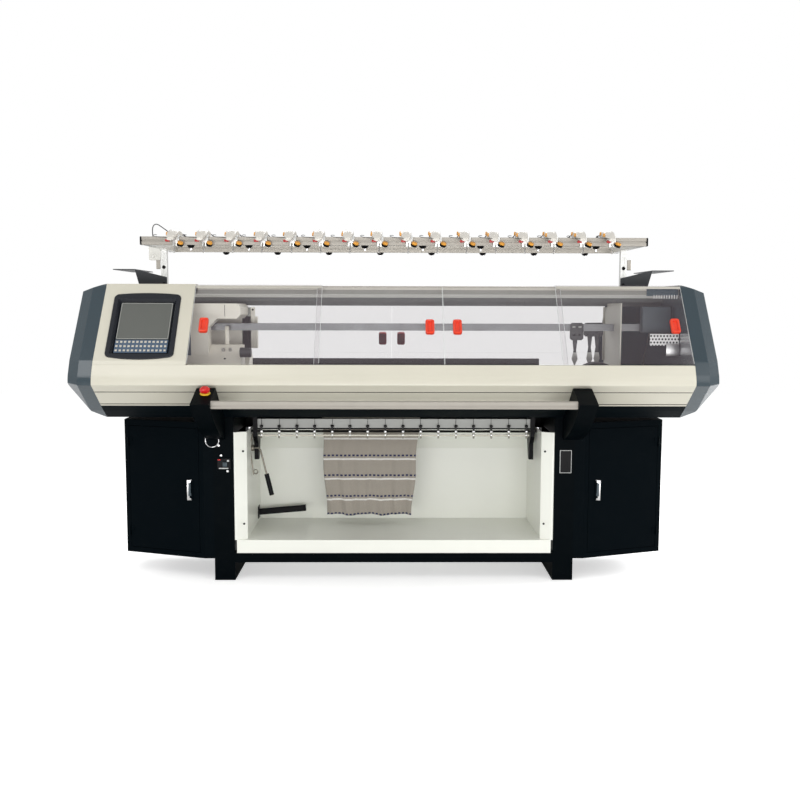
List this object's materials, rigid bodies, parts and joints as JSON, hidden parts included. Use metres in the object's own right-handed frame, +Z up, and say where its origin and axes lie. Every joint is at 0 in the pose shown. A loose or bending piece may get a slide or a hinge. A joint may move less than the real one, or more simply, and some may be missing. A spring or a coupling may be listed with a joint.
{
  "type": "flat knitting machine",
  "caption": "Flat knitting machine with V needle beds, a sliding carriage, take-down rollers, a cloth box, side cabinets and an overhead yarn tension rack.",
  "frame": {"origin": "centre of the overall box on the floor, under the machine", "axes": "+X along the needle beds to the operator's right, +Y away from the operator, +Z up"},
  "size_m": [2.776, 1.047, 1.572],
  "materials": {
    "frame_black": "satin",
    "tray_beige": "satin",
    "cover_beige": "satin",
    "cap_slate": "satin",
    "pan_dark": "matt",
    "bezel_navy": "gloss",
    "screen_grey": "gloss",
    "keypad_blue": "satin",
    "acrylic": "clear",
    "rail_aluminium": "satin",
    "guide_steel": "ground",
    "base_cast": "painted",
    "yarn_rail_grey": "anodised",
    "side_plate_beige": "satin",
    "carriage_beige": "satin",
    "carrier_steel": "satin",
    "motor_dark": "satin",
    "belt_rubber": "matt",
    "takedown_black": "satin",
    "roller_rubber": "matt",
    "lever_chrome": "polished",
    "knit": "matt",
    "cabinet_dark": "satin",
    "bar_aluminium": "satin",
    "button_red": "gloss",
    "rack_aluminium": "satin",
    "post_grey": "satin",
    "tension_plastic": "satin",
    "box_beige": "satin",
    "breaker_black": "satin"
  },
  "bodies": {
    "machine": {"leg_frame": "frame_black", "left_bar_bracket": "frame_black", "right_bar_bracket": "frame_black", "cloth_tray": "tray_beige", "left_liner": "tray_beige", "right_liner": "tray_beige", "front_cover": "cover_beige", "rear_cover": "cover_beige", "console_cover": "cover_beige", "left_end_cap": "cap_slate", "right_end_cap": "cap_slate", "head_pan": "pan_dark", "console_bezel": "bezel_navy", "console_screen": "screen_grey", "console_keypad": "keypad_blue", "front_top_rail": "rail_aluminium", "rear_top_rail": "rail_aluminium", "front_guide_rail": "guide_steel", "rear_guide_rail": "guide_steel", "front_needle_bed": "guide_steel", "bed_base": "base_cast", "front_yarn_rail": "yarn_rail_grey", "rear_yarn_rail": "yarn_rail_grey", "left_side_plate": "side_plate_beige", "right_side_plate": "side_plate_beige", "drive_motor": "motor_dark", "drive_belt": "belt_rubber", "takedown_frame": "takedown_black", "feeler_bar": "takedown_black", "fabric": "knit", "left_cabinet": "cabinet_dark", "right_cabinet": "cabinet_dark", "rack_front_beam": "rack_aluminium", "rack_rear_beam": "rack_aluminium", "left_post": "post_grey", "right_post": "post_grey", "left_yarn_shelf": "post_grey", "right_yarn_shelf": "post_grey", "tension_units": "tension_plastic", "rack_box": "box_beige", "breaker_panel": "breaker_black"},
    "carriage": {"carriage_arch": "carriage_beige", "front_cam_box": "carriage_beige"},
    "carrier_1": {"yarn_carrier_1": "carrier_steel"},
    "carrier_2": {"yarn_carrier_2": "carrier_steel"},
    "carrier_3": {"yarn_carrier_3": "carrier_steel"},
    "front_window_1": {"window_1": "acrylic"},
    "front_window_2": {"window_2": "acrylic"},
    "front_window_3": {"window_3": "acrylic"},
    "front_window_4": {"window_4": "acrylic"},
    "back_window_left": {"rear_window_left": "acrylic"},
    "back_window_right": {"rear_window_right": "acrylic"},
    "racking_bed": {"rear_needle_bed": "guide_steel"},
    "cloth_roller": {"takedown_roller": "roller_rubber"},
    "press_shaft": {"press_levers": "lever_chrome"},
    "release_handle": {"release_lever": "lever_chrome"},
    "door_left": {"left_door": "cabinet_dark"},
    "door_right": {"right_door": "cabinet_dark"},
    "operating_bar": {"start_bar": "bar_aluminium"},
    "stop_head": {"stop_button": "button_red"}
  },
  "joints": [
    {"name": "carriage_slide", "type": "slide", "parent": "machine", "child": "carriage", "axis": [1, 0, 0], "range_m": [0, 1.61]},
    {"name": "carrier_1_slide", "type": "slide", "parent": "machine", "child": "carrier_1", "axis": [1, 0, 0], "range_m": [-1.5, 0.12]},
    {"name": "carrier_2_slide", "type": "slide", "parent": "machine", "child": "carrier_2", "axis": [1, 0, 0], "range_m": [-1.55, 0.06]},
    {"name": "carrier_3_slide", "type": "slide", "parent": "machine", "child": "carrier_3", "axis": [1, 0, 0], "range_m": [-1.6, 0.03]},
    {"name": "window_1_slide", "type": "slide", "parent": "machine", "child": "front_window_1", "axis": [1, 0, 0], "range_m": [0, 0.44]},
    {"name": "window_2_slide", "type": "slide", "parent": "machine", "child": "front_window_2", "axis": [1, 0, 0], "range_m": [-0.44, 0]},
    {"name": "window_3_slide", "type": "slide", "parent": "machine", "child": "front_window_3", "axis": [1, 0, 0], "range_m": [0, 0.415]},
    {"name": "window_4_slide", "type": "slide", "parent": "machine", "child": "front_window_4", "axis": [1, 0, 0], "range_m": [-0.41, 0]},
    {"name": "rear_window_left_slide", "type": "slide", "parent": "machine", "child": "back_window_left", "axis": [1, 0, 0], "range_m": [-0.2, 0]},
    {"name": "rear_window_right_slide", "type": "slide", "parent": "machine", "child": "back_window_right", "axis": [1, 0, 0], "range_m": [0, 0.2]},
    {"name": "racking_slide", "type": "slide", "parent": "machine", "child": "racking_bed", "axis": [1, 0, 0], "range_m": [-0.025, 0.025]},
    {"name": "roller_spin", "type": "hinge", "parent": "machine", "child": "cloth_roller", "pos_m": [0, 0.1005, 0.69], "axis": [1, 0, 0], "continuous": true},
    {"name": "press_turn", "type": "hinge", "parent": "machine", "child": "press_shaft", "pos_m": [0, 0.0015, 0.661], "axis": [1, 0, 0], "range_deg": [-12, 0]},
    {"name": "release_swing", "type": "hinge", "parent": "machine", "child": "release_handle", "pos_m": [-0.66, 0.0135, 0.581], "axis": [1, 0, 0], "range_deg": [-60, 0]},
    {"name": "left_door_hinge", "type": "hinge", "parent": "machine", "child": "door_left", "pos_m": [-1.22563, -0.03239, 0.4], "axis": [0, 0, -1], "range_deg": [0, 110]},
    {"name": "right_door_hinge", "type": "hinge", "parent": "machine", "child": "door_right", "pos_m": [1.22563, -0.03239, 0.4], "axis": [0, 0, 1], "range_deg": [0, 110]},
    {"name": "start_bar_turn", "type": "hinge", "parent": "machine", "child": "operating_bar", "pos_m": [0, -0.4795, 0.833], "axis": [1, 0, 0], "range_deg": [-15, 15]},
    {"name": "stop_press", "type": "slide", "parent": "machine", "child": "stop_head", "axis": [0, 0.3547, -0.935], "range_m": [0, 0.005]}
  ],
  "couplings": [
    {"joint": "release_swing", "follows": "press_turn", "ratio": 5}
  ]
}
